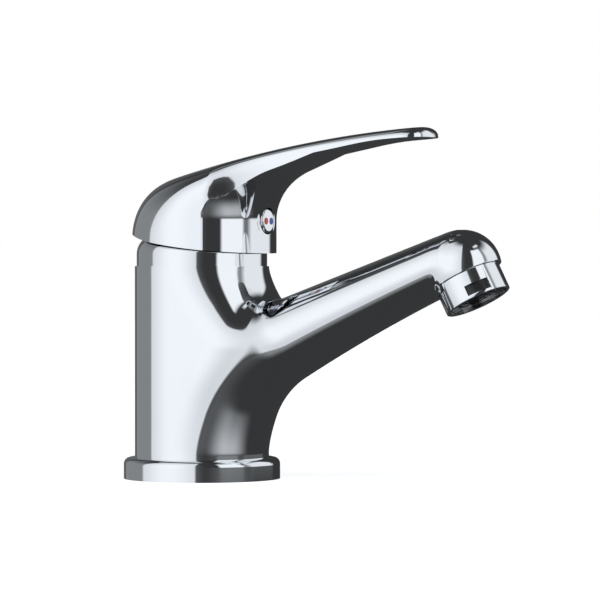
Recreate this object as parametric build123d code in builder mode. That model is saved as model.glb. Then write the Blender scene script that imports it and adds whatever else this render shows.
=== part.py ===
"""Single-lever basin mixer: cast body with fixed spout, 35 mm ceramic cartridge, lift-and-turn handle.

Millimetres. +Z is up and the spout points along +X. The origin is on the body's axis, in the plane
of the basin deck that the base ring stands on.
"""
from build123d import *
import os
from math import cos, radians, sin, tan

os.makedirs("parts", exist_ok=True)

# ---------------------------------------------------------------- driving dimensions
body_radius = 25.3
body_top = 80.0
ring_radius = 29.5
ring_height = 8.0
ring_edge_radius = 2.4
spigot_radius = 21.5
spigot_depth = 4.0
ring_lip = 3.0

gasket_radius = 27.0
gasket_width = 4.0
gasket_thickness = 2.2

shank_radius = 17.5
shank_depth = 26.0
inlet_radius = 4.5
inlet_thread_depth = 9.0
inlet_x = -5.5
inlet_y = 8.5
inlet_channel_radius = 3.0
stud_radius = 3.4
stud_x = 10.0
stud_thread_depth = 10.0

nose_radius = 14.0
nose_x = 109.2
nose_z = 79.2
outlet_tilt = 27.0
rim_drop = 3.4
spot_face_margin = 0.05
well_radius = 8.5
well_depth = 4.0
waterway_radius = 5.5
waterway_end = (105.0, 82.3)
outlet_port_x = 8.5
outlet_port_radius = 3.6

chamber_radius = 17.6
chamber_floor = body_top - 22.5
waterway_start = (8.5, chamber_floor - 12.5)
thread_radius = 19.25
dowel_radius = 1.3
dowel_depth = 2.5
dowel_y = 14.0
nut_thread_depth = 7.0

fit_gap = 0.15
run_gap = 0.3

base_thickness = 6.0
disc_radius = 15.3
disc_thickness = 3.2
moving_disc_radius = 12.0
channel_length = 14.0
channel_width = 9.0
channel_shift = 1.5
carrier_radius = 11.5
carrier_height = 5.6
port_radius = 3.0
seal_height = 1.2
seal_radius = 4.6
seal_bore_gap = 0.2
housing_wall = 1.9
housing_shoulder = body_top
shoulder_wall = 1.6
neck_radius = 14.4
neck_top = body_top + 10.0
rotor_radius = 11.2
rotor_flange_radius = 14.8
rotor_top = body_top + 11.5
pin_height = body_top + 4.0
pin_radius = 1.5
pin_gap = 0.06
pin_end_gap = 0.6
ball_drop = 10.0
ball_radius = 2.6
spindle_width = 7.9
spindle_top = 21.0
spindle_neck_radius = 2.2
spindle_square_drop = 5.0
slot_half_length = 6.6
spindle_lean = 12.0

nut_top = body_top + 6.0
nut_across_flats = 34.0
collar_radius = 24.6
collar_wall = 1.6
collar_top = body_top + 12.0
collar_crown_radius = 17.0
collar_straight = 4.5

handle_radius = 27.5
handle_offset = 1.3
handle_wall = 1.7
handle_crown_wall = 2.4
hollow_top = body_top + 26.0
rim_rear = (-28.0, body_top + 13.9)
rim_middle = (6.0, body_top + 6.8)
rim_front = (34.0, body_top + 4.4)
lever_tip_x = 97.0
lever_tip_start = 87.5
hub_radius = 7.5
hub_bottom = 10.5
hub_overlap = 3.0
socket_gap = 0.1
screw_height = body_top + 16.8
screw_radius = 2.5
screw_length = 8.0
screw_gap = 0.02
screw_tip_gap = 0.05
screw_chamfer = 0.5
key_across_flats = 2.5
key_depth = 2.5
boss_radius = 4.2
boss_front = 16.5
plug_seat_back = 6.0
plug_seat_depth = 5.0
plug_seat_wall = 1.8
plug_radius = 4.65
plug_crown = 0.9
plug_depth = 3.0
plug_groove = 0.35
mark_radius = 1.3
mark_y = 2.0
mark_depth = 1.2
mark_proud = 0.1

aerator_radius = 12.4
aerator_thread_radius = 11.9
aerator_thread_length = 6.0
aerator_length = 10.2
aerator_bore_radius = 11.0
aerator_seal_thickness = 1.2
aerator_seal_width = 2.1
aerator_edge_radius = 0.5
insert_lip = 0.8
insert_recess = 2.2
insert_wall = 1.0
insert_gap = 0.05
insert_web = 0.8
notch_flat = 11.5
notch_height = 4.2
notch_lip = 1.1
mesh_thickness = 0.5
mesh_pitch = 2.4
mesh_bar = 0.6
mesh_rows = 7

# ---------------------------------------------------------------- frames worked out from them
outlet_down = Vector(sin(radians(outlet_tilt)), 0, -cos(radians(outlet_tilt)))
rim_centre = Vector(nose_x, 0, nose_z) + outlet_down * rim_drop
lip_centre = rim_centre + outlet_down * aerator_length


def outlet_plane(along):
    """A plane square to the outlet, the given distance below the spout's rim, facing up into it."""
    return Plane(rim_centre + outlet_down * along, x_dir=(0, 1, 0), z_dir=-outlet_down)


def save(part, name):
    part.label = name
    export_step(part, f"parts/{name}.step")


def ring(name, outer, inner, bottom, top, edge=0.0):
    """A plain ring about the body's axis, written to its own file."""
    with BuildPart() as piece:
        with BuildSketch(Plane.XY.offset(bottom)):
            Circle(outer)
            Circle(inner, mode=Mode.SUBTRACT)
        extrude(amount=top - bottom)
        if edge:
            fillet(piece.edges().group_by(Axis.Z)[-1].sort_by(SortBy.LENGTH)[-1], edge)
    save(piece.part, name)


# ---------------------------------------------------------------- base ring and its gasket
groove_outer = gasket_radius
groove_inner = gasket_radius - gasket_width
with BuildPart() as base_ring:
    with BuildSketch():
        Circle(ring_radius)
        Circle(spigot_radius - ring_lip, mode=Mode.SUBTRACT)
    extrude(amount=ring_height)
    fillet(base_ring.edges().group_by(Axis.Z)[-1].sort_by(SortBy.LENGTH)[-1], ring_edge_radius)
    with BuildSketch(Plane.XY.offset(ring_height)):
        Circle(spigot_radius + fit_gap)
    extrude(amount=-spigot_depth - fit_gap, mode=Mode.SUBTRACT)
    with BuildSketch():
        Circle(groove_outer)
        Circle(groove_inner, mode=Mode.SUBTRACT)
    extrude(amount=gasket_thickness, mode=Mode.SUBTRACT)
save(base_ring.part, "base_ring")

ring("base_gasket", groove_outer, groove_inner, 0, gasket_thickness)

# ---------------------------------------------------------------- body casting
# The spout is a tapering tube of elliptical sections. Each section lies in a plane that holds its
# upper point, its lower point and the Y direction: (x, z) of both points, then the width.
spout_sections = [
    ((-2.0, 54.7), (20.0, 10.0), 40.0),
    ((26.0, 64.6), (44.5, 38.9), 35.0),
    ((60.0, 76.8), (70.0, 53.2), 31.0),
    ((104.5, 92.5), (110.6, 74.4), 27.0),
]
root_fillet = 15.0
floor_ports = [(inlet_x, inlet_y), (inlet_x, -inlet_y), (outlet_port_x, 0)]
with BuildPart() as spout:
    for upper, lower, width in spout_sections:
        top_point = Vector(upper[0], 0, upper[1])
        low_point = Vector(lower[0], 0, lower[1])
        rise = top_point - low_point
        across = Vector(0, 1, 0)
        middle = (top_point + low_point) / 2
        with BuildSketch(Plane(middle, x_dir=across, z_dir=across.cross(rise))):
            Ellipse(width / 2, rise.length / 2)
    loft()

with BuildPart() as faucet_body:
    with BuildSketch(Plane((0, 0, ring_height), x_dir=(-1, 0, 0), z_dir=(0, 0, 1))):
        Circle(body_radius)
    extrude(amount=body_top - ring_height)
    add(spout.part)
    # where the spout leaves the column is the one curved edge that is neither a circle nor a seam
    root = faucet_body.edges().filter_by(GeomType.BSPLINE).filter_by(
        lambda edge: 0 < edge.bounding_box().min.X and edge.bounding_box().max.X < body_radius + 0.5
    )
    fillet(root, root_fillet)
    with Locations((nose_x, 0, nose_z)):
        Sphere(nose_radius)
    # the spot face that the aerator seats on, then its thread and the well above it
    with BuildSketch(outlet_plane(0)):
        Circle(nose_radius + spot_face_margin)
    extrude(amount=-2 * nose_radius, mode=Mode.SUBTRACT)
    with BuildSketch(outlet_plane(0)):
        Circle(aerator_thread_radius + fit_gap)
    extrude(amount=aerator_thread_length + aerator_seal_thickness + fit_gap, mode=Mode.SUBTRACT)
    with BuildSketch(outlet_plane(-aerator_thread_length)):
        Circle(well_radius)
    extrude(amount=well_depth, mode=Mode.SUBTRACT)
    # spigot into the base ring, and the hollow that the hoses and the stud come up through
    with BuildSketch(Plane.XY.offset(ring_height)):
        Circle(spigot_radius)
    extrude(amount=-spigot_depth)
    with BuildSketch(Plane.XY.offset(ring_height - spigot_depth)):
        Circle(shank_radius)
    extrude(amount=shank_depth - ring_height + spigot_depth, mode=Mode.SUBTRACT)
    with BuildSketch(Plane.XY.offset(shank_depth)):
        with Locations((inlet_x, inlet_y), (inlet_x, -inlet_y)):
            Circle(inlet_radius)
    extrude(amount=inlet_thread_depth, mode=Mode.SUBTRACT)
    with BuildSketch(Plane.XY.offset(shank_depth)):
        with Locations((stud_x, 0)):
            Circle(stud_radius)
    extrude(amount=stud_thread_depth, mode=Mode.SUBTRACT)
    with BuildSketch(Plane.XY.offset(shank_depth)):
        with Locations((inlet_x, inlet_y), (inlet_x, -inlet_y)):
            Circle(inlet_channel_radius)
    extrude(amount=chamber_floor - shank_depth, mode=Mode.SUBTRACT)
    # cartridge chamber, nut thread, dowel holes and the way out to the spout
    with BuildSketch(Plane.XY.offset(chamber_floor)):
        Circle(chamber_radius)
    extrude(amount=body_top - chamber_floor, mode=Mode.SUBTRACT)
    with BuildSketch(Plane.XY.offset(body_top)):
        Circle(thread_radius)
    extrude(amount=-nut_thread_depth, mode=Mode.SUBTRACT)
    with BuildSketch(Plane.XY.offset(chamber_floor)):
        with Locations((0, dowel_y), (0, -dowel_y)):
            Circle(dowel_radius + fit_gap)
    extrude(amount=-dowel_depth - fit_gap, mode=Mode.SUBTRACT)
    with BuildSketch(Plane.XY.offset(chamber_floor)):
        with Locations((outlet_port_x, 0)):
            Circle(outlet_port_radius)
    extrude(amount=waterway_start[1] - chamber_floor, mode=Mode.SUBTRACT)
    way = Vector(waterway_end[0] - waterway_start[0], 0, waterway_end[1] - waterway_start[1])
    with BuildSketch(Plane((waterway_start[0], 0, waterway_start[1]), x_dir=(0, 1, 0), z_dir=way)):
        Circle(waterway_radius)
    extrude(amount=way.length, mode=Mode.SUBTRACT)
save(faucet_body.part, "faucet_body")

# ---------------------------------------------------------------- cartridge, from the floor up
base_top = chamber_floor + base_thickness
with BuildPart() as cartridge_base:
    with BuildSketch(Plane.XY.offset(chamber_floor)):
        Circle(chamber_radius - fit_gap)
        with Locations(*floor_ports):
            Circle(port_radius, mode=Mode.SUBTRACT)
    extrude(amount=base_thickness)
    with BuildSketch(Plane.XY.offset(chamber_floor)):
        with Locations(*floor_ports):
            Circle(seal_radius)
    extrude(amount=seal_height, mode=Mode.SUBTRACT)
    with BuildSketch(Plane.XY.offset(chamber_floor)):
        with Locations((0, dowel_y), (0, -dowel_y)):
            Circle(dowel_radius)
    extrude(amount=-dowel_depth)
save(cartridge_base.part, "cartridge_base")

with BuildPart() as port_seals:
    with BuildSketch(Plane.XY.offset(chamber_floor)):
        with Locations(*floor_ports):
            Circle(seal_radius)
            Circle(port_radius + seal_bore_gap, mode=Mode.SUBTRACT)
    extrude(amount=seal_height)
save(port_seals.part, "port_seals")

fixed_disc_top = base_top + disc_thickness
with BuildPart() as fixed_disc:
    with BuildSketch(Plane.XY.offset(base_top)):
        Circle(disc_radius)
        with Locations(*floor_ports):
            Circle(port_radius, mode=Mode.SUBTRACT)
    extrude(amount=disc_thickness)
save(fixed_disc.part, "fixed_disc")

# At rest the spindle leans forward, so its ball and what the ball carries sit behind the axis.
lean = radians(spindle_lean)
ball_x = -ball_drop * sin(lean)
moving_disc_top = fixed_disc_top + disc_thickness
with BuildPart() as moving_disc:
    with BuildSketch(Plane.XY.offset(fixed_disc_top)):
        with Locations((ball_x, 0)):
            Circle(moving_disc_radius)
    extrude(amount=disc_thickness)
    with BuildSketch(Plane.XY.offset(fixed_disc_top)):
        with Locations((ball_x + channel_shift, 0)):
            SlotOverall(channel_length, channel_width)
    extrude(amount=disc_thickness / 2, mode=Mode.SUBTRACT)
save(moving_disc.part, "moving_disc")

carrier_top = moving_disc_top + carrier_height
ball_z = pin_height - ball_drop
with BuildPart() as disc_carrier:
    with BuildSketch(Plane.XY.offset(moving_disc_top)):
        with Locations((ball_x, 0)):
            Circle(carrier_radius)
    extrude(amount=carrier_height)
    with BuildSketch(Plane.XY.offset(carrier_top)):
        with Locations((ball_x, 0)):
            Circle(ball_radius + run_gap)
    extrude(amount=ball_z - ball_radius - 2 * run_gap - carrier_top, mode=Mode.SUBTRACT)
save(disc_carrier.part, "disc_carrier")

housing_inner = chamber_radius - fit_gap - housing_wall
ceiling = housing_shoulder - shoulder_wall
with BuildPart() as cartridge_housing:
    with BuildSketch(Plane.XZ):
        with BuildLine():
            Polyline(
                (housing_inner, base_top),
                (chamber_radius - fit_gap, base_top),
                (chamber_radius - fit_gap, housing_shoulder),
                (neck_radius, housing_shoulder),
                (neck_radius, neck_top),
                (rotor_radius + run_gap, neck_top),
                (rotor_radius + run_gap, ceiling),
                (housing_inner, ceiling),
                close=True,
            )
        make_face()
    revolve(axis=Axis.Z)
save(cartridge_housing.part, "cartridge_housing")

flange_bottom = carrier_top + run_gap
with BuildPart() as rotor:
    with BuildSketch(Plane.XY.offset(flange_bottom)):
        Circle(rotor_flange_radius)
    extrude(amount=ceiling - run_gap - flange_bottom)
    with BuildSketch(Plane.XY.offset(flange_bottom)):
        Circle(rotor_radius)
    extrude(amount=rotor_top - flange_bottom)
    with BuildSketch(Plane.XY.offset(flange_bottom)):
        Rectangle(2 * slot_half_length, spindle_width + 2 * fit_gap)
    extrude(amount=rotor_top - flange_bottom, mode=Mode.SUBTRACT)
    with BuildSketch(Plane.XZ.offset(-rotor_radius - run_gap)):
        with Locations((0, pin_height)):
            Circle(pin_radius + pin_gap)
    extrude(amount=2 * (rotor_radius + run_gap), mode=Mode.SUBTRACT)
save(rotor.part, "rotor")

pin_length = 2 * (rotor_radius - pin_end_gap)
with BuildPart() as lever_pin:
    with BuildSketch(Plane.XZ.offset(-pin_length / 2)):
        with Locations((0, pin_height)):
            Circle(pin_radius)
    extrude(amount=pin_length)
save(lever_pin.part, "lever_pin")

# The spindle's own frame: its origin is on the pin and its Z runs up the leaning spindle.
spindle_frame = Plane((0, 0, pin_height), x_dir=(cos(lean), 0, -sin(lean)), z_dir=(sin(lean), 0, cos(lean)))
spindle_centre_x = (screw_height - pin_height) * tan(lean)
with BuildPart() as spindle:
    with BuildSketch(spindle_frame.offset(-spindle_square_drop)):
        Rectangle(spindle_width, spindle_width)
    extrude(amount=spindle_top + spindle_square_drop)
    with BuildSketch(spindle_frame.offset(-ball_drop)):
        Circle(spindle_neck_radius)
    extrude(amount=ball_drop - spindle_square_drop)
    with Locations(spindle_frame.offset(-ball_drop)):
        Sphere(ball_radius)
    with BuildSketch(Plane.XZ.offset(-rotor_radius)):
        with Locations((0, pin_height)):
            Circle(pin_radius)
    extrude(amount=2 * rotor_radius, mode=Mode.SUBTRACT)
save(spindle.part, "spindle")

# ---------------------------------------------------------------- retaining nut and trim collar
with BuildPart() as cartridge_nut:
    with BuildSketch(Plane.XY.offset(body_top - nut_thread_depth + fit_gap)):
        Circle(thread_radius - fit_gap)
    extrude(amount=nut_thread_depth - fit_gap)
    with BuildSketch(Plane.XY.offset(body_top)):
        RegularPolygon(nut_across_flats / 2, 6, major_radius=False)
    extrude(amount=nut_top - body_top)
    with BuildSketch(Plane.XY.offset(body_top - nut_thread_depth)):
        Circle(chamber_radius)
    extrude(amount=housing_shoulder - body_top + nut_thread_depth, mode=Mode.SUBTRACT)
    with BuildSketch(Plane.XY.offset(housing_shoulder)):
        Circle(neck_radius + fit_gap)
    extrude(amount=nut_top - housing_shoulder, mode=Mode.SUBTRACT)
save(cartridge_nut.part, "cartridge_nut")

collar_hole = neck_radius + run_gap
with BuildPart() as trim_collar:
    with BuildSketch(Plane.XZ):
        with BuildLine():
            straight_top = body_top + collar_straight
            outer = EllipticalCenterArc(
                (collar_crown_radius, straight_top),
                collar_radius - collar_crown_radius,
                collar_top - straight_top,
                start_angle=0,
                arc_size=90,
            )
            inner = EllipticalCenterArc(
                (collar_crown_radius, straight_top),
                collar_radius - collar_wall - collar_crown_radius,
                collar_top - collar_wall - straight_top,
                start_angle=0,
                arc_size=90,
            )
            Line((collar_radius, straight_top), (collar_radius, body_top))
            Line((collar_radius, body_top), (collar_radius - collar_wall, body_top))
            Line((collar_radius - collar_wall, body_top), (collar_radius - collar_wall, straight_top))
            Line((collar_crown_radius, collar_top), (collar_hole, collar_top))
            Line((collar_hole, collar_top), (collar_hole, collar_top - collar_wall))
            Line((collar_hole, collar_top - collar_wall), (collar_crown_radius, collar_top - collar_wall))
        make_face()
    revolve(axis=Axis.Z)
save(trim_collar.part, "trim_collar")

# ---------------------------------------------------------------- handle
# Crown of the handle along its centre line: x, and the height over the body's top. Across the
# handle it is round, about an axis along X at the height of crown_axis, so it drops away to the sides.
crown_knots = [
    (-27.8, 9.0), (-25.5, 17.0), (-21.1, 24.9), (-13.0, 30.6), (0.0, 35.1), (30.0, 42.0),
    (57.0, 47.0), (84.0, 50.4), (93.0, 50.5), (98.5, 49.2),
]
crown = [(x, body_top + rise) for x, rise in crown_knots]
crown_axis = body_top + 4.0
# Half the handle's outline in plan, from inside the round skirt to where the tip's curve starts.
lever_flank = [(4.0, 23.5), (18.5, 22.2), (30.0, 17.6), (50.0, 13.2), (lever_tip_start, 11.5)]
under_reach = 40.0
# Where the flank of the lever ends and its hollow underside begins, given in the same way.
crease_knots = [
    (14.0, 20.0), (17.7, 25.7), (26.5, 32.2), (36.0, 37.0), (48.0, 40.3),
    (62.0, 43.0), (80.0, 45.9), (104.0, 47.2),
]
crease = [(x, body_top + rise) for x, rise in crease_knots]
flare_start = body_top + 17.0
flare_radius = 20.0
flare_angle = 68.0
flare_step = 0.5
flare_reach = 30.0
# levels safely above and below the handle, where the cutting profiles close
over_handle = body_top + 70.0
under_handle = body_top - 20.0


def crown_solid(lowered):
    """Everything under the handle's crown, with the crown lowered by the given wall."""
    with BuildPart() as under_crown:
        with BuildSketch(Plane.XZ):
            with BuildLine():
                lowered_crown = [(x, z - lowered) for x, z in crown]
                Spline(*lowered_crown, tangents=((0.2, 1), (1, -0.25)))
                Polyline(
                    lowered_crown[-1],
                    (crown[-1][0], crown_axis),
                    (crown[0][0], crown_axis),
                    lowered_crown[0],
                )
            make_face()
        revolve(axis=Axis((0, 0, crown_axis), (1, 0, 0)))
    return under_crown.part


# The hollow under the lever: all that lies below the crease, except a round core that carries the
# front of the skirt up and flares out into the lever.
with BuildPart() as hollow_under:
    with BuildSketch(Plane.XZ):
        with BuildLine():
            Spline(*crease)
            Polyline(crease[-1], (crease[-1][0], under_handle), (crease[0][0], under_handle), crease[0])
        make_face()
    extrude(amount=under_reach, both=True)
    with BuildSketch(Plane.XZ):
        with BuildLine():
            bend = radians(flare_angle)
            start = Vector(handle_offset + handle_radius - flare_step, flare_start)
            middle = start + Vector(1 - cos(bend / 2), sin(bend / 2)) * flare_radius
            end = start + Vector(1 - cos(bend), sin(bend)) * flare_radius
            out = end + Vector(sin(bend), cos(bend)) * flare_reach
            low = under_handle - 1
            ThreePointArc(start, middle, end)
            Polyline(
                end, out, (out.X, over_handle), (handle_offset, over_handle), (handle_offset, low),
                (start.X, low), start,
            )
        make_face()
    revolve(axis=Axis((handle_offset, 0, 0), (0, 0, 1)), mode=Mode.SUBTRACT)

# the hollow inside, one wall in from the skirt and the crown
crown_outside = crown_solid(0)
crown_inside = crown_solid(handle_crown_wall)
with BuildPart() as hollow:
    with BuildSketch(Plane.XY.offset(under_handle)):
        with Locations((handle_offset, 0)):
            Circle(handle_radius - handle_wall)
    extrude(amount=hollow_top - under_handle)
    add(crown_inside, mode=Mode.INTERSECT)

skirt_front = handle_offset + handle_radius
with BuildPart() as handle:
    with BuildSketch(Plane.XY.offset(under_handle)):
        with Locations((handle_offset, 0)):
            Circle(handle_radius)
        with BuildLine():
            flank = Spline(*lever_flank, tangents=((1, 0.05), (1, 0)))
            EllipticalCenterArc(
                (lever_tip_start, 0), lever_tip_x - lever_tip_start, lever_flank[-1][1],
                start_angle=-90, arc_size=180,
            )
            mirror(flank, about=Plane.XZ)
            Line(lever_flank[0], (lever_flank[0][0], -lever_flank[0][1]))
        make_face()
    extrude(amount=over_handle - under_handle)
    add(crown_outside, mode=Mode.INTERSECT)
    add(hollow_under.part, mode=Mode.SUBTRACT)
    # the rim: low at the front, high at the back, where it dips as the lever is lifted
    with BuildSketch(Plane.XZ):
        with BuildLine():
            ThreePointArc(rim_rear, rim_middle, rim_front)
            Polyline(rim_front, (rim_front[0], under_handle), (rim_rear[0], under_handle), rim_rear)
        make_face()
    extrude(amount=under_reach, both=True, mode=Mode.SUBTRACT)
    add(hollow.part, mode=Mode.SUBTRACT)
    # hub round the spindle, and the boss that carries the set screw to it from the front
    with BuildSketch(spindle_frame.offset(hub_bottom)):
        Circle(hub_radius)
    extrude(amount=spindle_top - hub_bottom + hub_overlap)
    with BuildSketch(Plane.YZ.offset(spindle_centre_x)):
        with Locations((0, screw_height)):
            Circle(boss_radius)
    extrude(amount=boss_front - spindle_centre_x)
    with BuildSketch(Plane.YZ.offset(skirt_front - plug_seat_back)):
        with Locations((0, screw_height)):
            Circle(plug_radius + plug_seat_wall)
    extrude(amount=plug_seat_depth)
    with BuildSketch(spindle_frame.offset(spindle_top + socket_gap)):
        Rectangle(spindle_width + 2 * socket_gap, spindle_width + 2 * socket_gap)
    extrude(amount=-spindle_top, mode=Mode.SUBTRACT)
    with BuildSketch(Plane.YZ.offset(spindle_centre_x)):
        with Locations((0, screw_height)):
            Circle(screw_radius)
    extrude(amount=boss_front - spindle_centre_x, mode=Mode.SUBTRACT)
    with BuildSketch(Plane.YZ.offset(boss_front)):
        with Locations((0, screw_height)):
            Circle(plug_radius + plug_groove)
    extrude(amount=lever_tip_x - boss_front, mode=Mode.SUBTRACT)
save(handle.part, "handle")

spindle_face = spindle_centre_x + spindle_width / 2 / cos(lean)
screw_back = spindle_face + screw_radius * tan(lean) + screw_tip_gap
with BuildPart() as handle_screw:
    with BuildSketch(Plane.YZ.offset(screw_back)):
        with Locations((0, screw_height)):
            Circle(screw_radius - screw_gap)
    extrude(amount=screw_length)
    chamfer(handle_screw.edges().group_by(Axis.X)[0], screw_chamfer)
    with BuildSketch(Plane.YZ.offset(screw_back + screw_length)):
        with Locations((0, screw_height)):
            RegularPolygon(key_across_flats / 2, 6, major_radius=False)
    extrude(amount=-key_depth, mode=Mode.SUBTRACT)
save(handle_screw.part, "handle_screw")

# ---------------------------------------------------------------- hot and cold indicator
with BuildPart() as indicator_plug:
    with BuildSketch(Plane.YZ.offset(skirt_front - plug_depth)):
        with Locations((0, screw_height)):
            Circle(plug_radius)
    extrude(amount=plug_depth)
    crown_edge = indicator_plug.edges().group_by(Axis.X)[-1]
    fillet(crown_edge, plug_crown)
    with BuildSketch(Plane.YZ.offset(skirt_front - mark_depth)):
        with Locations((-mark_y, screw_height), (mark_y, screw_height)):
            Circle(mark_radius)
    extrude(amount=mark_depth + mark_proud, mode=Mode.SUBTRACT)
save(indicator_plug.part, "indicator_plug")

for mark_name, side in (("hot_mark", -1), ("cold_mark", 1)):
    with BuildPart() as mark:
        with BuildSketch(Plane.YZ.offset(skirt_front - mark_depth)):
            with Locations((side * mark_y, screw_height)):
                Circle(mark_radius)
        extrude(amount=mark_depth + mark_proud)
    save(mark.part, mark_name)

# ---------------------------------------------------------------- aerator, along the tilted outlet
with BuildPart() as aerator_housing:
    with BuildSketch(outlet_plane(0)):
        Circle(aerator_thread_radius)
    extrude(amount=aerator_thread_length)
    with BuildSketch(outlet_plane(0)):
        Circle(aerator_radius)
    extrude(amount=-aerator_length)
    fillet(aerator_housing.edges().filter_by(GeomType.CIRCLE).sort_by(Axis.Z)[0], aerator_edge_radius)
    for side in (-1, 1):
        with BuildSketch(outlet_plane(aerator_length - notch_lip)):
            with Locations((side * (notch_flat + aerator_radius), 0)):
                Rectangle(2 * aerator_radius, 2 * aerator_radius)
        extrude(amount=notch_height, mode=Mode.SUBTRACT)
    with BuildSketch(outlet_plane(aerator_length)):
        Circle(aerator_bore_radius)
    extrude(amount=aerator_length + aerator_thread_length - insert_lip, mode=Mode.SUBTRACT)
    with BuildSketch(outlet_plane(-aerator_thread_length)):
        Circle(aerator_thread_radius - aerator_seal_width)
    extrude(amount=-insert_lip, mode=Mode.SUBTRACT)
save(aerator_housing.part, "aerator_housing")

with BuildPart() as aerator_seal:
    with BuildSketch(outlet_plane(-aerator_thread_length)):
        Circle(aerator_thread_radius)
        Circle(aerator_thread_radius - aerator_seal_width, mode=Mode.SUBTRACT)
    extrude(amount=aerator_seal_thickness)
save(aerator_seal.part, "aerator_seal")

insert_bottom = aerator_length - insert_recess
insert_length = insert_bottom + aerator_thread_length - insert_lip
with BuildPart() as aerator_insert:
    with BuildSketch(outlet_plane(insert_bottom)):
        Circle(aerator_bore_radius - insert_gap)
        Circle(aerator_bore_radius - insert_wall, mode=Mode.SUBTRACT)
        Rectangle(2 * aerator_bore_radius - insert_wall, insert_web)
        Rectangle(insert_web, 2 * aerator_bore_radius - insert_wall)
    extrude(amount=insert_length)
save(aerator_insert.part, "aerator_insert")

with BuildPart() as aerator_screen:
    with BuildSketch(outlet_plane(insert_bottom + mesh_thickness)):
        Circle(aerator_bore_radius - insert_gap)
        with GridLocations(mesh_pitch, mesh_pitch, mesh_rows, mesh_rows) as grid:
            inside = [
                spot for spot in grid.local_locations
                if spot.position.length + mesh_pitch / 2 < aerator_bore_radius - insert_wall
            ]
        with Locations(*inside):
            Rectangle(mesh_pitch - mesh_bar, mesh_pitch - mesh_bar, mode=Mode.SUBTRACT)
    extrude(amount=mesh_thickness)
save(aerator_screen.part, "aerator_screen")
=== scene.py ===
# %% [markdown]
# # A chrome basin mixer
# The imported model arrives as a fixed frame: every piece of the faucet at its real place, in metres,
# with +Z up and the spout along +X. Everything below is worked out from the boxes of those pieces.

# %% Load the frame
import bpy
from math import cos, degrees, pi, radians, sin
from mathutils import Matrix, Vector


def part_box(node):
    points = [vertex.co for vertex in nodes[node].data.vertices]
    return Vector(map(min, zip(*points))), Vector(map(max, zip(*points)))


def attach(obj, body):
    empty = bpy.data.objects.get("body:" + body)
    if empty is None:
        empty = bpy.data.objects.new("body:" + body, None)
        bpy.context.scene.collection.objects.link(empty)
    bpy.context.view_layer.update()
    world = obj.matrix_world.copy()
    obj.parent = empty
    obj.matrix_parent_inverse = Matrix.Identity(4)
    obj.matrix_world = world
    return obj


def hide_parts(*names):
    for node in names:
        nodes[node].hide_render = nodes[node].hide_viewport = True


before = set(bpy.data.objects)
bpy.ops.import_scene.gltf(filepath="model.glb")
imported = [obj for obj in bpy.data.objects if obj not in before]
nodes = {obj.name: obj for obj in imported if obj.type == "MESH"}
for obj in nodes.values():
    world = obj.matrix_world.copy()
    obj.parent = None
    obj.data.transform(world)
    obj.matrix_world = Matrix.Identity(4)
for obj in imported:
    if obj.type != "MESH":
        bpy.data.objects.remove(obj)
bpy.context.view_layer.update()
MM = 0.001
print("pieces in the frame:", len(nodes))

# %% [markdown]
# ## Camera
# A product picture of a small object is taken from far away with a long lens, so that upright edges
# stay parallel. The camera stands level with the top of the body, a little to the right of square on.

# %% Camera
CAMERA_AZIMUTH = radians(30)
CAMERA_DISTANCE = 1.290
CAMERA_HEIGHT = 0.0804
LENS_MM = 205.1
AIM_ALONG = 0.0370
AIM_HEIGHT = 0.0672

toward_camera = Vector((sin(CAMERA_AZIMUTH), -cos(CAMERA_AZIMUTH), 0))
camera_right = Vector((cos(CAMERA_AZIMUTH), sin(CAMERA_AZIMUTH), 0))
camera_place = toward_camera * CAMERA_DISTANCE + Vector((0, 0, CAMERA_HEIGHT))
aim = camera_right * AIM_ALONG + Vector((0, 0, AIM_HEIGHT))
bpy.ops.object.select_all(action="DESELECT")
bpy.ops.object.camera_add(location=camera_place)
camera = bpy.context.object
camera.rotation_euler = (aim - camera_place).to_track_quat("-Z", "Y").to_euler()
camera.data.lens = LENS_MM
bpy.context.scene.camera = camera
bpy.context.scene.view_settings.view_transform = "Standard"
print("camera stands at", [round(value, 3) for value in camera_place])

# %% [markdown]
# ## Nodes and colours
# Every material and the studio are small node trees. One function adds a node, sets its values and
# makes its links, and one turns the hex colours of a paint card into the linear values Blender adds up.

# %% Helpers for node trees
def linear(hex_colour):
    """The linear red, green, blue and alpha of an sRGB hex colour."""
    channels = [int(hex_colour[i:i + 2], 16) / 255 for i in (1, 3, 5)]
    return [c / 12.92 if c <= 0.04045 else ((c + 0.055) / 1.055) ** 2.4 for c in channels] + [1.0]


def add_node(tree, kind, settings=None, **inputs):
    """Adds a node. An input's value is a number, a colour or another node's output socket."""
    node = tree.nodes.new(kind)
    for name, value in (settings or {}).items():
        setattr(node, name, value)
    for name, value in inputs.items():
        key = int(name[1:]) if name[0] == "i" and name[1:].isdigit() else name.replace("_", " ")
        if isinstance(value, bpy.types.NodeSocket):
            tree.links.new(value, node.inputs[key])
        else:
            node.inputs[key].default_value = value
    return node

# %% [markdown]
# ## Studio
# Polished chrome has no colour of its own: it shows the room. So the light is a room made of soft
# cards, written as a world shader. Each card is a patch of sky between two bearings and two heights,
# with soft edges. Bearings are counted from the camera's side, to the right.

# %% World of soft cards
world = bpy.data.worlds.new("studio")
bpy.context.scene.world = world
world.use_nodes = True
sky = world.node_tree
sky.nodes.clear()
ray = add_node(sky, "ShaderNodeTexCoord").outputs["Generated"]
facing = add_node(sky, "ShaderNodeMapping", Vector=ray, Rotation=(0, 0, -CAMERA_AZIMUTH))
split = add_node(sky, "ShaderNodeSeparateXYZ", Vector=facing.outputs[0])


def math_node(operation, first, second=0.0):
    """The result of a sum, product or other operation on two values of the sky."""
    return add_node(sky, "ShaderNodeMath", {"operation": operation}, i0=first, i1=second).outputs[0]


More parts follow.
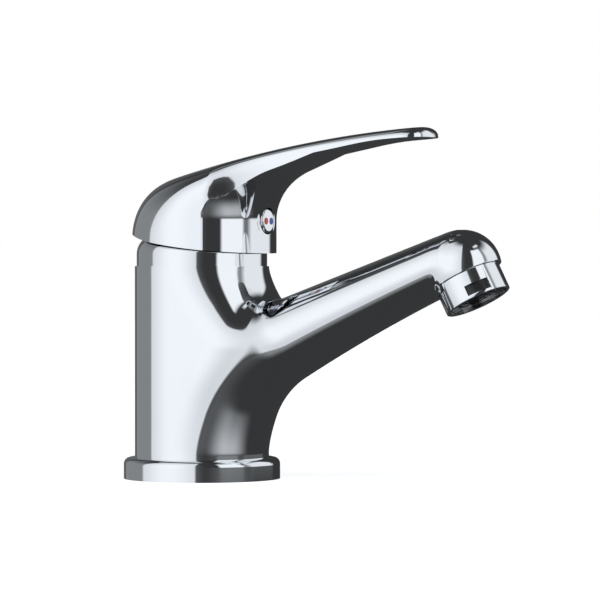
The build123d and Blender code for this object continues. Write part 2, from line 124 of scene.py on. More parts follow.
flat_y = math_node("MULTIPLY", split.outputs[1], -1.0)
bearing = math_node("MULTIPLY", math_node("ARCTAN2", split.outputs[0], flat_y), degrees(1))
height = math_node("MULTIPLY", math_node("ARCSINE", split.outputs[2]), degrees(1))


def ramp(value, start, end):
    """Rises smoothly from 0 at start to 1 at end, or falls if end is the lower."""
    node = add_node(
        sky, "ShaderNodeMapRange", {"interpolation_type": "SMOOTHSTEP"},
        Value=value, From_Min=min(start, end), From_Max=max(start, end),
        To_Min=float(start > end), To_Max=float(start < end),
    )
    return node.outputs[0]


def card(left, right, low, high, brightness, soft=4.0, soft_low=4.0, soft_high=10.0):
    """A glowing patch between two bearings and two heights, in degrees."""
    left_edge = ramp(bearing, left - soft, left + soft)
    right_edge = ramp(bearing, right + soft, right - soft)
    lower_edge = ramp(height, low - soft_low, low + soft_low)
    upper_edge = ramp(height, high + soft_high, high - soft_high)
    sides = math_node("MULTIPLY", left_edge, right_edge)
    ends = math_node("MULTIPLY", lower_edge, upper_edge)
    return math_node("MULTIPLY", math_node("MULTIPLY", sides, ends), brightness)


cards = [
    # the large screen on the left, brighter towards its middle, with a dim strip under it
    card(-97, -10, -36, 72, 0.80, soft=2.0, soft_low=1.5),
    card(-80, -20, -14, 50, 0.34, soft=26.0, soft_low=16.0, soft_high=24.0),
    card(-60, -10, -46, -36, 0.26, soft=6.0, soft_low=8.0, soft_high=1.5),
    # the screens on the right, with a grey gap between them
    card(26, 64, -2, 52, 1.1, soft=3.0, soft_low=2.0, soft_high=3.0),
    card(64, 76, 0, 50, 0.28, soft=2.0),
    card(76, 128, -2, 46, 0.95, soft=5.0, soft_low=2.0),
    # a weak light low on the right, and its spill
    card(22, 70, -30, -6, 0.50, soft=18.0, soft_low=14.0, soft_high=6.0),
    card(-12, 40, -40, -8, 0.07, soft=12.0, soft_low=12.0, soft_high=8.0),
    # the grey walls at the back
    card(-150, -97, -14, 34, 0.24, soft=1.5, soft_high=22.0),
    card(-230, -150, -14, 24, 0.10, soft=8.0, soft_high=18.0),
    # two lamps overhead
    card(50, 80, 57, 63, 0.9, soft=6.0, soft_low=2.0, soft_high=2.0),
    card(-175, -100, 56, 60, 0.4, soft=10.0, soft_low=2.0, soft_high=6.0),
]
ROOM_GLOW = 0.045
glow = ROOM_GLOW
for patch in cards:
    glow = math_node("ADD", glow, patch)
seen = add_node(sky, "ShaderNodeBackground", Color=(1, 1, 1, 1), Strength=1.0)
room = add_node(sky, "ShaderNodeBackground", Color=linear("#F4F8FB"), Strength=glow)
path = add_node(sky, "ShaderNodeLightPath").outputs["Is Camera Ray"]
mixed = add_node(sky, "ShaderNodeMixShader", i0=path, i1=room.outputs[0], i2=seen.outputs[0])
add_node(sky, "ShaderNodeOutputWorld", Surface=mixed.outputs[0])
print("cards in the studio:", len(cards))

# %% [markdown]
# ## Floor
# The faucet stands on a pale matt table. Polished metal would pick the white table up in every
# underside, so the table is hidden from mirror rays and only gives light and takes shadow.

# %% Floor
FLOOR_SIZE = 6.0
bpy.ops.mesh.primitive_plane_add(size=FLOOR_SIZE)
floor = bpy.context.object
floor.name = "floor"
floor.visible_glossy = False
matt = bpy.data.materials.new("matt white table")
matt.use_nodes = True
matt.node_tree.nodes.clear()
diffuse = add_node(matt.node_tree, "ShaderNodeBsdfDiffuse", Color=linear("#F2F2F2"))
lift = add_node(matt.node_tree, "ShaderNodeEmission", Color=linear("#FFFFFF"), Strength=0.75)
both = add_node(matt.node_tree, "ShaderNodeAddShader", i0=diffuse.outputs[0], i1=lift.outputs[0])
add_node(matt.node_tree, "ShaderNodeOutputMaterial", Surface=both.outputs[0])
floor.data.materials.append(matt)
print("floor side in metres:", FLOOR_SIZE)

# %% [markdown]
# ## Chrome
# Bright chrome is nickel and chromium plated on polished brass or zinc. It mirrors about two thirds of
# the light, hardly tinted, and its only texture is the slight haze that polishing leaves.

# %% Chrome plating
def new_material(name, **principled):
    """A named material with a principled shader, its texture coordinates and its tree."""
    material = bpy.data.materials.new(name)
    material.use_nodes = True
    tree = material.node_tree
    tree.nodes.clear()
    shader = add_node(tree, "ShaderNodeBsdfPrincipled", **principled)
    add_node(tree, "ShaderNodeOutputMaterial", Surface=shader.outputs[0])
    place = add_node(tree, "ShaderNodeTexCoord").outputs["Object"]
    return material, tree, shader, place


def spread(tree, shader, place, grain_mm, low, high):
    """Lets the roughness wander between two values in patches of the given size."""
    noise = add_node(tree, "ShaderNodeTexNoise", Vector=place, Scale=1 / (grain_mm * MM), Detail=3.0)
    span = add_node(
        tree, "ShaderNodeMapRange",
        Value=noise.outputs[0], From_Min=0.3, From_Max=0.7, To_Min=low, To_Max=high,
    )
    tree.links.new(span.outputs[0], shader.inputs["Roughness"])


def chrome_plating():
    """Bright and nearly colourless; the haze wanders in patches of 14 mm, wide enough to be seen."""
    material, tree, shader, place = new_material(
        "bright chrome plating", Base_Color=linear("#E9EBEE"), Metallic=1.0,
    )
    spread(tree, shader, place, 14, 0.025, 0.05)
    return material


chrome = chrome_plating()
plated = ("base_ring", "trim_collar", "indicator_plug")
for name in plated:
    nodes[name].data.materials.clear()
    nodes[name].data.materials.append(chrome)
print("pieces plated as they are:", len(plated))

# %% [markdown]
# ## The other materials
# Under the chrome are the materials of a real cartridge mixer: turned brass, black nitrile rubber,
# moulded acetal and glass-filled nylon, ground alumina discs, and stainless steel for what gets wet.
# Each is a small tree of grain, roughness and relief at its real size.

# %% Plastics, rubber, ceramic, brass and steel
def mottle(tree, shader, place, grain_mm, dark, light):
    """Lets the colour wander between two hex colours in patches of the given size."""
    noise = add_node(tree, "ShaderNodeTexNoise", Vector=place, Scale=1 / (grain_mm * MM), Detail=4.0)
    mix = add_node(
        tree, "ShaderNodeMix", {"data_type": "RGBA"},
        i0=noise.outputs[0], i6=linear(dark), i7=linear(light),
    )
    tree.links.new(mix.outputs[2], shader.inputs["Base Color"])


def relief(tree, shader, height_socket, depth_mm):
    """Raises the surface's shading by a pattern, to the given depth."""
    bump = add_node(tree, "ShaderNodeBump", Height=height_socket, Distance=depth_mm * MM, Strength=1.0)
    tree.links.new(bump.outputs[0], shader.inputs["Normal"])


def moulded(name, dark, light, grain_mm, rough_low, rough_high, depth_mm, metallic=0.0):
    """A material with mottled colour, patchy gloss and a fine grain in relief."""
    material, tree, shader, place = new_material(name, Metallic=metallic)
    mottle(tree, shader, place, grain_mm * 8, dark, light)
    spread(tree, shader, place, grain_mm * 12, rough_low, rough_high)
    grain = add_node(tree, "ShaderNodeTexNoise", Vector=place, Scale=1 / (grain_mm * MM), Detail=2.0)
    relief(tree, shader, grain.outputs[0], depth_mm)
    return material


def turned_metal(name, dark, light, rough_low, rough_high):
    """Metal from the lathe: fine rings about the upright axis, 0.25 mm apart, which is as fine as shows."""
    material, tree, shader, place = new_material(name, Metallic=1.0)
    mottle(tree, shader, place, 3.0, dark, light)
    spread(tree, shader, place, 4.0, rough_low, rough_high)
    rings = add_node(
        tree, "ShaderNodeTexWave", {"wave_type": "BANDS", "bands_direction": "Z"},
        Vector=place, Scale=0.31 / (0.25 * MM), Distortion=0.4, Detail=1.0,
    )
    relief(tree, shader, rings.outputs[0], 0.01)
    return material


# Brass and steel keep the lathe's rings. Rubber is dull, acetal waxy and nylon grainy with glass.
# Alumina is ground nearly to a mirror. Enamel is glossy with a slight orange peel.
brass = turned_metal("turned brass", "#B08D4A", "#CBA961", 0.20, 0.34)
steel = turned_metal("stainless steel", "#8F9193", "#B9BBBD", 0.22, 0.36)
# The screen's steel is made far darker than steel's own grey. This is painted shade for the recess inside
# the aerator's cup.
screen_steel_painted_shade = turned_metal("screen steel darkened as painted shade", "#3C3D3F", "#5C5D5F", 0.3, 0.5)
rubber = moulded("black nitrile rubber", "#141414", "#212120", 0.4, 0.55, 0.75, 0.02)
acetal = moulded("white acetal", "#D9D8D0", "#EDECE6", 0.5, 0.28, 0.42, 0.01)
nylon = moulded("grey glass-filled nylon", "#5A5E62", "#74787B", 0.3, 0.45, 0.62, 0.02)
alumina = moulded("ground alumina", "#DAD4C8", "#EFEBE2", 0.15, 0.10, 0.2, 0.004)
dark_acetal = moulded("dark acetal of the aerator", "#17181A", "#232528", 0.4, 0.25, 0.4, 0.01)
red_enamel = moulded("red enamel", "#B31A17", "#D0241D", 0.2, 0.12, 0.22, 0.006)
blue_enamel = moulded("blue enamel", "#14429C", "#1E55B8", 0.2, 0.12, 0.22, 0.006)
finishes = {
    "cartridge_nut": brass, "spindle": brass,
    "base_gasket": rubber, "port_seals": rubber, "aerator_seal": rubber,
    "cartridge_base": acetal, "disc_carrier": acetal, "aerator_insert": dark_acetal,
    "cartridge_housing": nylon, "rotor": nylon,
    "fixed_disc": alumina, "moving_disc": alumina,
    # the screen gets the steel darkened as painted shade of the aerator's recess
    "lever_pin": steel, "handle_screw": steel, "aerator_screen": screen_steel_painted_shade,
    "hot_mark": red_enamel, "cold_mark": blue_enamel,
}
for name, material in finishes.items():
    nodes[name].data.materials.clear()
    nodes[name].data.materials.append(material)
print("pieces given a finish of their own:", len(finishes))

# %% [markdown]
# ## Body casting
# The real body is cast brass: a round column that swells forward near its middle and flows into the
# spout, ground smooth before plating, so that no seam shows in the mirror. A union with a bevel would
# leave a seam. So a coarse cage of four-sided faces is subdivided, and each of its points is then
# pulled onto a skin that is written as a formula: the distance to the column, to the spout and to the
# round nose, joined by a smooth minimum. The chamber and bores are then cut as on a lathe.

# %% Sizes of the body
import numpy as np

RING_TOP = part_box("base_ring")[1].z / MM
BODY_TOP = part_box("trim_collar")[0].z / MM
body_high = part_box("faucet_body")[1]
COLUMN_RADIUS = body_high.y / MM
NOSE_RADIUS = 14.0
NOSE_REACH = 109.2
NOSE = (NOSE_REACH, body_high.z / MM - NOSE_RADIUS)
print("column radius", COLUMN_RADIUS, "top", BODY_TOP, "nose", NOSE)

# %% The skin as a formula
def smooth_min(a, b, reach):
    """The lesser of two distances, rounded where they are within reach of each other."""
    overlap = np.maximum(reach - np.abs(a - b), 0)
    return np.minimum(a, b) - overlap ** 2 / (4 * reach)


def swell(z):
    """How far the column is drawn forward at this height."""
    upper = 5.8 * np.maximum((BODY_TOP - z) / 13.0, 0) ** 1.5
    lower = 5.4 * np.maximum((z - RING_TOP - 2.0) / 18.4, 0) ** 1.5
    return smooth_min(upper, lower, 4.0).clip(0)


THINNEST_SPOUT = 2.0
SPOUT_STARTS, SPOUT_ENDS = 5.0, 107.0
NOSE_BLEND, ROOT_BLEND = 1.2, 6.5


def spout_section(x):
    """Height of the spout's middle, its half height and its half width at this distance out."""
    top = 68.5 + 0.357 * (x - 36.9) - 0.012 * np.maximum(x - 98.0, 0) ** 2
    under = 38.8 + 0.555 * (x - 43.7) - 0.00108 * (x - 43.7) * (x - 70.0)
    half_width = 22.6 - 0.132 * x + 0.00045 * x ** 2 - 0.03 * np.maximum(15.0 - x, 0) ** 2
    return (top + under) / 2, (top - under) / 2, half_width.clip(THINNEST_SPOUT)


def skin(points):
    """Rough distance from the body's outer skin, in mm, negative inside."""
    x, y, z = points.T
    column = np.hypot(x - np.clip(x, 0, swell(z)), y) - COLUMN_RADIUS
    middle, half_height, half_width = spout_section(x)
    up, out = (z - middle) / half_height, y / half_width
    ratio = np.hypot(up, out) + 1e-9
    slope = np.hypot(out / half_width, up / half_height * 1.09) / ratio + 1e-9
    spout = np.maximum((ratio - 1) / slope, np.maximum(x - SPOUT_ENDS, SPOUT_STARTS - x))
    nose = np.sqrt((x - NOSE[0]) ** 2 + y ** 2 + (z - NOSE[1]) ** 2) - NOSE_RADIUS
    return smooth_min(smooth_min(spout, nose, NOSE_BLEND), column, ROOT_BLEND)


def pull_onto_skin(points, level, distance):
    """Moves each point to the skin, by Newton's steps. Points marked level keep their height."""
    step = 0.01
    for _ in range(12):
        value = distance(points)
        slope = np.stack([
            (distance(points + step * axis) - distance(points - step * axis)) / (2 * step)
            for axis in np.eye(3)
        ], axis=1)
        slope[level, 2] = 0
        points = points - (value / (slope ** 2).sum(axis=1).clip(0.05))[:, None] * slope
    return points

# %% The cage
AROUND = 16
HALF_PATCH = 3
root_height, root_half, root_width = 44.7, 31.7, 23.4
# Each loop of the spout: its upper point and its lower point as (x, z), how far its sides sit back
# from the line between them, and its half width.
loops = [
    ((27.5, 72.5), (27.5, 18.5), 10.0, 21.5),
    ((31.0, 67.5), (32.5, 26.0), 6.0, 19.0),
    ((36.5, 68.4), (40.5, 36.0), 3.0, 17.6),
    ((46.0, 71.8), (52.0, 43.8), 0.0, 17.0),
    ((60.0, 76.8), (67.0, 52.0), 0.0, 16.0),
    ((75.0, 82.0), (82.0, 59.6), 0.0, 15.0),
    ((90.0, 87.5), (95.0, 66.0), 0.0, 14.2),
    ((100.0, 91.0), (103.0, 68.5), 0.0, 13.8),
    ((107.0, 93.0), (110.0, 65.5), 0.0, 14.0),
    ((116.0, 91.3), (116.0, 67.0), 0.0, 12.2),
]
points, faces = [], []


def add_point(x, y, z):
    points.append((x, y, z))
    return len(points) - 1


def from_faces(name, rows, corners):
    """An object at the origin from points in mm and the corners of each face."""
    mesh = bpy.data.meshes.new(name)
    mesh.from_pydata([tuple(float(value) * MM for value in row) for row in rows], [], corners)
    piece = bpy.data.objects.new(name, mesh)
    bpy.context.collection.objects.link(piece)
    return piece


def patch_angle(i, row):
    """Angle round the spout of a place on the patch's border, from its side, in radians."""
    if row in (0, 4):
        turn = 90 - 18 * i
        return radians(turn if row == 4 else -turn)
    return radians(18 * (row - 2)) if i > 0 else radians(180 - 18 * (row - 2))


back_rows = {0: 18.0, 1: 31.0, 2: 44.7, 3: 59.0, 4: 72.0}
column = {}
for j in range(AROUND):
    i = (j + AROUND // 2) % AROUND - AROUND // 2
    around = 2 * pi * i / AROUND
    for row, z in ((-2, RING_TOP), (-1, RING_TOP + 2.0), (5, BODY_TOP - 1.5), (6, BODY_TOP)):
        column[i, row] = add_point(COLUMN_RADIUS * cos(around), COLUMN_RADIUS * sin(around), z)
    for row, z in back_rows.items():
        on_patch = abs(i) <= HALF_PATCH
        if on_patch and (abs(i) == HALF_PATCH or row in (0, 4)):
            angle = patch_angle(i, row)
            y = root_width * cos(angle)
            x = (COLUMN_RADIUS ** 2 - y * y) ** 0.5
            column[i, row] = add_point(x, y, root_height + root_half * sin(angle))
        elif not on_patch:
            spread_back = (abs(i) - HALF_PATCH) / (AROUND // 2 - HALF_PATCH)
            edge = 50.0 if row in (0, 4) else 64.0
            turn = radians(edge + (180 - edge) * spread_back) * (1 if i > 0 else -1)
            near = root_height + root_half * sin(patch_angle(HALF_PATCH, row))
            level = near + (z - near) * min(1, spread_back * 1.6)
            column[i, row] = add_point(COLUMN_RADIUS * cos(turn), COLUMN_RADIUS * sin(turn), level)

for j in range(AROUND):
    i = (j + AROUND // 2) % AROUND - AROUND // 2
    n = i + 1 if i + 1 < AROUND // 2 else -AROUND // 2
    for row in range(-2, 6):
        if 0 <= row < 4 and -HALF_PATCH <= i < HALF_PATCH:
            continue
        faces.append((column[i, row], column[n, row], column[n, row + 1], column[i, row + 1]))
border = [(i, 0) for i in range(-HALF_PATCH, HALF_PATCH)] + [(HALF_PATCH, row) for row in range(4)]
border += [(i, 4) for i in range(HALF_PATCH, -HALF_PATCH, -1)]
border += [(-HALF_PATCH, row) for row in range(4, 0, -1)]
loop = [column[place] for place in border]
for upper, lower, sit_back, half_width in loops:
    new_loop = []
    for place in border:
        angle = patch_angle(*place)
        share = (1 + sin(angle)) / 2
        x = lower[0] + (upper[0] - lower[0]) * share - sit_back * cos(angle) ** 2
        new_loop.append(add_point(x, half_width * cos(angle), lower[1] + (upper[1] - lower[1]) * share))
    for a in range(len(loop)):
        b = (a + 1) % len(loop)
        faces.append((loop[a], loop[b], new_loop[b], new_loop[a]))
    loop = new_loop
CAP_X, CAP_HALF = 121.0, 12.0
cap = dict(zip(border, loop))
for i in range(-HALF_PATCH + 1, HALF_PATCH):
    for row in range(1, 4):
        cap[i, row] = add_point(CAP_X, CAP_HALF * i / HALF_PATCH, NOSE[1] + CAP_HALF * (row - 2) / 2)
for i in range(-HALF_PATCH, HALF_PATCH):
    for row in range(4):
        faces.append((cap[i, row], cap[i + 1, row], cap[i + 1, row + 1], cap[i, row + 1]))
body = from_faces("body_casting", points, faces)
print("cage:", len(points), "points,", len(faces), "faces")

# %% Subdivide it and pull it onto the skin
SMOOTHING = 3


def only(piece):
    """Selects this piece alone and makes it the active one."""
    bpy.ops.object.select_all(action="DESELECT")
    piece.select_set(True)
    bpy.context.view_layer.objects.active = piece


only(body)
smooth = body.modifiers.new("subdivide", "SUBSURF")
smooth.levels = smooth.render_levels = SMOOTHING
bpy.ops.object.modifier_apply(modifier=smooth.name)
count = len(body.data.vertices)
flat = np.empty(count * 3)
body.data.vertices.foreach_get("co", flat)
places = flat.reshape(-1, 3) / MM
level = (np.abs(places[:, 2] - RING_TOP) < 0.01) | (np.abs(places[:, 2] - BODY_TOP) < 0.01)
places = pull_onto_skin(places, level, skin)
print("largest miss, mm:", np.abs(skin(places)).max(), "points", count)
body.data.vertices.foreach_set("co", (places * MM).ravel())
body.data.update()

# %% Close it and cut the chamber, the bores and the outlet
import bmesh


def close_and_turn_out(piece, levels=()):
    """Fills the open rims at the given heights and turns all faces outwards."""
    form = bmesh.new()
    form.from_mesh(piece.data)
    for height in levels:
        rim = [
            edge for edge in form.edges
            if edge.is_boundary and abs(edge.verts[0].co.z / MM - height) < 0.1
        ]
        bmesh.ops.edgeloop_fill(form, edges=rim)
    bmesh.ops.recalc_face_normals(form, faces=form.faces)
    form.to_mesh(piece.data)
    form.free()


def finish_piece(piece, material, slot, body_name, *replaced):
    """Shades a finished piece, gives it its material, hangs it on a body and hides the pieces it replaces.
    """
    only(piece)
    bpy.ops.object.shade_smooth_by_angle(angle=radians(35))
    weighted = piece.modifiers.new("normals by area", "WEIGHTED_NORMAL")
    weighted.keep_sharp = True
    bpy.ops.object.modifier_apply(modifier=weighted.name)
    piece.data.materials.clear()
    piece.data.materials.append(material)
    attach(piece, body_name)
    if replaced:
        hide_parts(*replaced)


close_and_turn_out(body, [RING_TOP, BODY_TOP])
OUTLET_TILT = radians(27.0)
RIM_DROP = 3.4
down = Vector((sin(OUTLET_TILT), 0, -cos(OUTLET_TILT)))
rim_centre = Vector((NOSE[0], 0, NOSE[1])) + RIM_DROP * down


def drill(start, end, radius, sides=96):
    """A cylinder between two points, in mm, to cut with."""
    start, end = Vector(start), Vector(end)
    along = end - start
    bpy.ops.object.select_all(action="DESELECT")
    bpy.ops.mesh.primitive_cylinder_add(
        vertices=sides, radius=radius * MM, depth=along.length * MM, location=(start + end) / 2 * MM,
        rotation=along.to_track_quat("Z", "Y").to_euler(),
    )
    return bpy.context.object


def cut(piece, tool, operation="DIFFERENCE"):
    """Cuts the tool out of the piece, or joins it on, and removes the tool."""
    only(piece)
    boolean = piece.modifiers.new("cut", "BOOLEAN")
    boolean.operation = operation
    boolean.object = tool
    boolean.solver = "EXACT"
    bpy.ops.object.modifier_apply(modifier=boolean.name)
    bpy.data.objects.remove(tool)


SLAB_HALF_WIDTH = 40.0


def side_profile(outline):
    """A slab across the faucet with this outline in (x, z), to cut with."""
    count = len(outline)
    rows = [(x, side * SLAB_HALF_WIDTH, z) for side in (-1, 1) for x, z in outline]
    sides = [(k, (k + 1) % count, (k + 1) % count + count, k + count) for k in range(count)]
    ends = [tuple(range(count)), tuple(range(2 * count - 1, count - 1, -1))]
    piece = from_faces("slab", rows, sides + ends)
    close_and_turn_out(piece)
    return piece


def turned(outline, centre_x, steps=192):
    """A solid turned about an upright axis. Its outline, in (radius, z), starts and ends on the axis."""
    inner = outline[1:-1]
    rows = [(0, 0, outline[0][1]), (0, 0, outline[-1][1])]
    for k in range(steps):
        turn = 2 * pi * k / steps
        rows += [(r * cos(turn), r * sin(turn), z) for r, z in inner]
    count = len(inner)
    sides = []
    for k in range(steps):
        a, b = 2 + k * count, 2 + (k + 1) % steps * count
        sides += [(a + m, b + m, b + m + 1, a + m + 1) for m in range(count - 1)]
        sides += [(0, b, a), (1, a + count - 1, b + count - 1)]
    piece = from_faces("turned", [(x + centre_x, y, z) for x, y, z in rows], sides)
    close_and_turn_out(piece)
    return piece


def between(p, q, r, s, t):
    """A value a share t of the way from q to r, on the smooth curve through all four."""
    bend = (2 * p - 5 * q + 4 * r - s) * t ** 2 + (3 * q - p - 3 * r + s) * t ** 3
    return 0.5 * (2 * q + (r - p) * t + bend)


def smooth_line(knots, steps=8):
    """Points on a smooth curve through the knots."""
    line = []
    ends = [knots[0]] + knots + [knots[-1]]
    for a, b, c, d in zip(ends, ends[1:], ends[2:], ends[3:]):
        for k in range(steps):
            line.append(tuple(between(*four, k / steps) for four in zip(a, b, c, d)))
    return line + [knots[-1]]


across = Vector((cos(OUTLET_TILT), 0, sin(OUTLET_TILT)))
BACK_OF_FACE = 6.0
behind = [
    rim_centre + across * -reach + down * depth
    for reach, depth in ((BACK_OF_FACE, -8), (BACK_OF_FACE, 40), (40, 40), (40, -8))
]
spot_face = drill(rim_centre, rim_centre + down * 30, NOSE_RADIUS + 0.05)
cut(spot_face, side_profile([(corner.x, corner.z) for corner in behind]))
cut(body, spot_face)
CHAMBER_FLOOR, CHAMBER_RADIUS, NUT_SEAT, NUT_THREAD = 57.5, 17.6, 73.0, 19.25
SHANK_TOP, SHANK_RADIUS, INLET_TOP, INLET_RADIUS, STUD_TOP, STUD_RADIUS = 26.0, 17.5, 35.0, 4.5, 36.0, 3.4
INLET_X, INLET_Y, STUD_X = -5.5, 8.5, 10.0
CUP_POCKET, OUTLET_THREAD, OUTLET_THREAD_DEPTH, WELL_RADIUS, WELL_DEPTH = 12.6, 12.05, 7.35, 8.5, 10.0
for start, end, radius in (
    ((0, 0, CHAMBER_FLOOR), (0, 0, 90), CHAMBER_RADIUS),
    ((0, 0, NUT_SEAT), (0, 0, 90), NUT_THREAD),
    ((0, 0, 0), (0, 0, SHANK_TOP), SHANK_RADIUS),
    ((INLET_X, INLET_Y, 20), (INLET_X, INLET_Y, INLET_TOP), INLET_RADIUS),
    ((INLET_X, -INLET_Y, 20), (INLET_X, -INLET_Y, INLET_TOP), INLET_RADIUS),
    ((STUD_X, 0, 20), (STUD_X, 0, STUD_TOP), STUD_RADIUS),
    (rim_centre, rim_centre + down * 20, CUP_POCKET),
    (rim_centre - down * OUTLET_THREAD_DEPTH, rim_centre + down, OUTLET_THREAD),
    (rim_centre - down * WELL_DEPTH, rim_centre, WELL_RADIUS),
):
    cut(body, drill(start, end, radius))
print("body after cutting:", len(body.data.polygons), "faces")
finish_piece(body, chrome, "chrome", "body", "faucet_body")

# %% [markdown]
# ## Aerator
# The aerator is a short brass cup, chromed outside, that screws into the nose and carries a plastic
# insert and a screen. Two notches above its lip take a thin spanner. It is made as on a lathe: an outline
# is turned about the outlet's axis, with small radii on its lip, and the notches are milled out.

# %% The aerator's cup, screen and insert
def along_outlet(piece):
    """Turns a piece made about the upright axis so that it points down the outlet, from the rim."""
    place = Matrix.Translation(rim_centre * MM) @ Matrix.Rotation(-OUTLET_TILT, 4, "Y")
    piece.data.transform(place)
    piece.data.update()
    return piece


CUP_RADIUS, CUP_LENGTH, BORE_RADIUS, THREAD_LENGTH = 12.4, 10.2, 11.0, 6.0
cup_outline = [
    (0, 5.2), (9.8, 5.2), (9.8, THREAD_LENGTH), (11.9, THREAD_LENGTH), (11.9, 0.0),
    (12.2, -0.05), (CUP_RADIUS, -0.35), (CUP_RADIUS, -CUP_LENGTH + 0.5), (12.33, -CUP_LENGTH + 0.2),
    (12.1, -CUP_LENGTH + 0.05), (11.85, -CUP_LENGTH), (11.3, -CUP_LENGTH), (BORE_RADIUS, -CUP_LENGTH + 0.3),
    (BORE_RADIUS, 4.4), (0, 4.4),
]
cup = turned(cup_outline, 0)
NOTCH_TOP, NOTCH_LIP, NOTCH_WIDTH, NOTCH_TURN = -5.2, 1.2, 9.0, radians(-57)
NOTCH_CUTTER = 6.0
# the near notch goes through to the insert, the far one is blind
for side, floor_of_notch in ((0, 9.9), (pi, 11.2)):
    bpy.ops.object.select_all(action="DESELECT")
    bpy.ops.mesh.primitive_cube_add(size=1.0)
    notch = bpy.context.object
    tall = NOTCH_TOP + CUP_LENGTH - NOTCH_LIP
    notch.data.transform(
        Matrix.Rotation(NOTCH_TURN + side, 4, "Z")
        @ Matrix.Translation(Vector((floor_of_notch + NOTCH_CUTTER / 2, 0, NOTCH_TOP - tall / 2)) * MM)
        @ Matrix.Diagonal((NOTCH_CUTTER * MM, NOTCH_WIDTH * MM, tall * MM, 1.0))
    )
    cut(cup, notch)
bpy.ops.object.select_all(action="DESELECT")
edges_of_cup = cup.modifiers.new("soft edges", "BEVEL")
edges_of_cup.width = 0.12 * MM
edges_of_cup.segments = 2
edges_of_cup.angle_limit = radians(50)
only(cup)
bpy.ops.object.modifier_apply(modifier=edges_of_cup.name)
cup.name = "aerator_cup"
finish_piece(along_outlet(cup), chrome, "chrome", "body", "aerator_housing")
print("aerator cup:", len(cup.data.polygons), "faces")

# %% [markdown]
# ## Handle
# The handle is a thin zinc shell: a round skirt, a crown with soft shoulders and a lever drawn out of
# it. Its outside is again one formula, the plan outline and the crown met by a smooth maximum whose
# shoulder is wide at the back and narrow on the lever. The mesh is a strip that goes up one flank,
# over the crown and down the other, folded shut at the back and at the tip. The hollow underside, the
# rim and the inside are cut out of it afterwards, because their edges are crisp on the real handle.

# %% The handle's skin and its strip of faces
SKIRT_RADIUS = 27.5
SKIRT_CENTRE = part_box("handle")[0].x / MM + SKIRT_RADIUS
TIP = 97.0
TIP_START = 87.5
STRIP_FOOT = 78.0
UP_FLANK = 16
OVER_CROWN = 14
EDGE_DROP = 3.0
LEVER_FROM = 12.0


def lever_half_width(x):
    """Half the lever's width in plan, wide at the skirt and nearly even along the lever."""
    return 11.5 + 11.5 * np.exp(-(np.maximum(x, 16.0) - 18.0) / 17.0)


def crown_height(x):
    """Height of the crown along its middle."""
    return 115.2 + 0.27 * x - 0.00112 * x ** 2


def shoulder(x):
    """Reach of the rounding between flank and crown."""
    return 4.0 + 14.0 / (1 + np.exp((x - 8.0) / 10.0))


def handle_skin(points):
    """Rough distance from the handle's outer skin, in mm, negative inside."""
    x, y, z = points.T
    skirt = np.hypot(x - SKIRT_CENTRE, y) - SKIRT_RADIUS
    flank = np.maximum(np.abs(y) - lever_half_width(x), -x)
    lever = -smooth_min(-flank, TIP - x, 10.0)
    outline = smooth_min(skirt, lever, 3.0)
    crown = (z - crown_height(x) + y ** 2 / 140.0) * 0.965
    return -smooth_min(-outline, -crown, shoulder(x))


stations = [SKIRT_CENTRE - SKIRT_RADIUS * cos(radians(3 * k)) for k in range(31)]
stations += [SKIRT_CENTRE + (TIP_START - SKIRT_CENTRE) * k / 56 for k in range(1, 57)]
stations += [TIP_START + (TIP - TIP_START) * sin(radians(7.5 * k)) for k in range(1, 13)]
places, strips = [], []
for x in stations:
    width = max(0.0, SKIRT_RADIUS ** 2 - (x - SKIRT_CENTRE) ** 2) ** 0.5
    if x > LEVER_FROM:
        width = max(width, float(lever_half_width(x)))
    if x > TIP_START:
        width *= max(0.0, 1 - ((x - TIP_START) / (TIP - TIP_START)) ** 2) ** 0.5
    top = float(crown_height(x))
    rise = top - EDGE_DROP - STRIP_FOOT
    half = [(width, STRIP_FOOT + rise * k / UP_FLANK) for k in range(UP_FLANK)]
    for k in range(OVER_CROWN + 1):
        left = 1 - k / OVER_CROWN
        half.append((width * left, top - EDGE_DROP * left))
    across = half if width < 0.05 else half + [(-y, z) for y, z in reversed(half[:-1])]
    strip = []
    for y, z in across:
        strip.append(len(places))
        places.append((x, y, z))
    if len(across) == len(half):
        strip += list(reversed(strip[:-1]))
    strips.append(strip)
faces = []
for here, there in zip(strips, strips[1:]):
    for k in range(len(here) - 1):
        corners = [here[k], here[k + 1], there[k + 1], there[k]]
        faces.append(tuple(dict.fromkeys(corners)))
places = np.array(places)
foot = np.abs(places[:, 2] - STRIP_FOOT) < 0.01
places = pull_onto_skin(places, foot, handle_skin)
print("handle skin, largest miss in mm:", np.abs(handle_skin(places)).max(), "points", len(places))
handle = from_faces("handle_shell", places, faces)
close_and_turn_out(handle, [STRIP_FOOT])

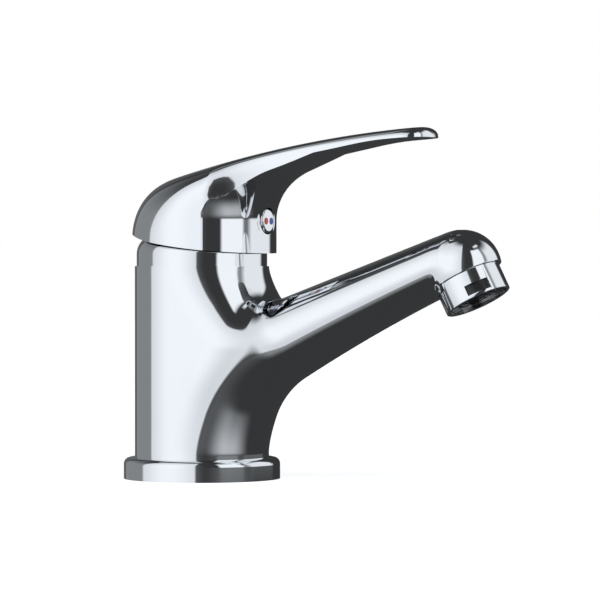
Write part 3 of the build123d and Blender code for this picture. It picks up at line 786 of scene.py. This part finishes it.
# %% Cut the underside, the rim and the inside
crease = [
    (14.0, 100.0), (17.7, 105.7), (26.5, 112.2), (36.0, 117.0), (48.0, 120.3),
    (62.0, 123.0), (80.0, 125.9), (104.0, 127.2),
]
FLARE_START, FLARE_RADIUS, FLARE_ANGLE, FLARE_STEP, FLARE_REACH = 97.0, 20.0, radians(68), 0.5, 40
LOW, HIGH = 60.0, 170.0
underside = side_profile(smooth_line(crease) + [(crease[-1][0], LOW), (crease[0][0], LOW)])
front = SKIRT_RADIUS - FLARE_STEP
flare = []
for k in range(25):
    bend = FLARE_ANGLE * k / 24
    flare.append((front + FLARE_RADIUS * (1 - cos(bend)), FLARE_START + FLARE_RADIUS * sin(bend)))
far = (flare[-1][0] + FLARE_REACH * sin(FLARE_ANGLE), flare[-1][1] + FLARE_REACH * cos(FLARE_ANGLE))
core = turned([(0, 50), (front, 50)] + flare + [far, (far[0], HIGH), (0, HIGH)], SKIRT_CENTRE)
cut(underside, core)
cut(handle, underside)
rim = smooth_line([(-28.0, 93.9), (-12.0, 89.7), (6.0, 86.8), (20.0, 85.3), (34.0, 84.4)])
cut(handle, side_profile(rim + [(rim[-1][0], LOW), (rim[0][0], LOW)]))
INSIDE_TOP, INSIDE_ROUND, WALL = 104.0, 14.0, 1.7
inside = SKIRT_RADIUS - WALL
dome = []
for k in range(16):
    bend = radians(6 * k)
    dome.append((inside - INSIDE_ROUND * (1 - cos(bend)), INSIDE_TOP - INSIDE_ROUND * (1 - sin(bend))))
cut(handle, turned([(0, LOW), (inside, LOW)] + dome + [(0, INSIDE_TOP)], SKIRT_CENTRE))
plug_low, plug_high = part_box("indicator_plug")
plug_height = (plug_low.z + plug_high.z) / 2 / MM
plug_radius = (plug_high.z - plug_low.z) / 2 / MM
HUB_RADIUS, BOSS_RADIUS, BOSS_FRONT, SEAT_WALL, PLUG_GROOVE = 7.5, 4.2, 16.5, 1.8, 0.35
# the hub that grips the spindle, the boss of its screw, the plug's seat, and the bore through them
cut(handle, drill((2.7, 0, 94.5), (5.0, 0, 106.5), HUB_RADIUS), "UNION")
cut(handle, drill((3.0, 0, plug_height), (BOSS_FRONT, 0, plug_height), BOSS_RADIUS), "UNION")
cut(handle, drill((22.8, 0, plug_height), (27.8, 0, plug_height), plug_radius + SEAT_WALL), "UNION")
cut(handle, drill((BOSS_FRONT, 0, plug_height), (60, 0, plug_height), plug_radius + PLUG_GROOVE))
print("handle after cutting:", len(handle.data.polygons), "faces")
finish_piece(handle, chrome, "chrome", "lever", "handle")
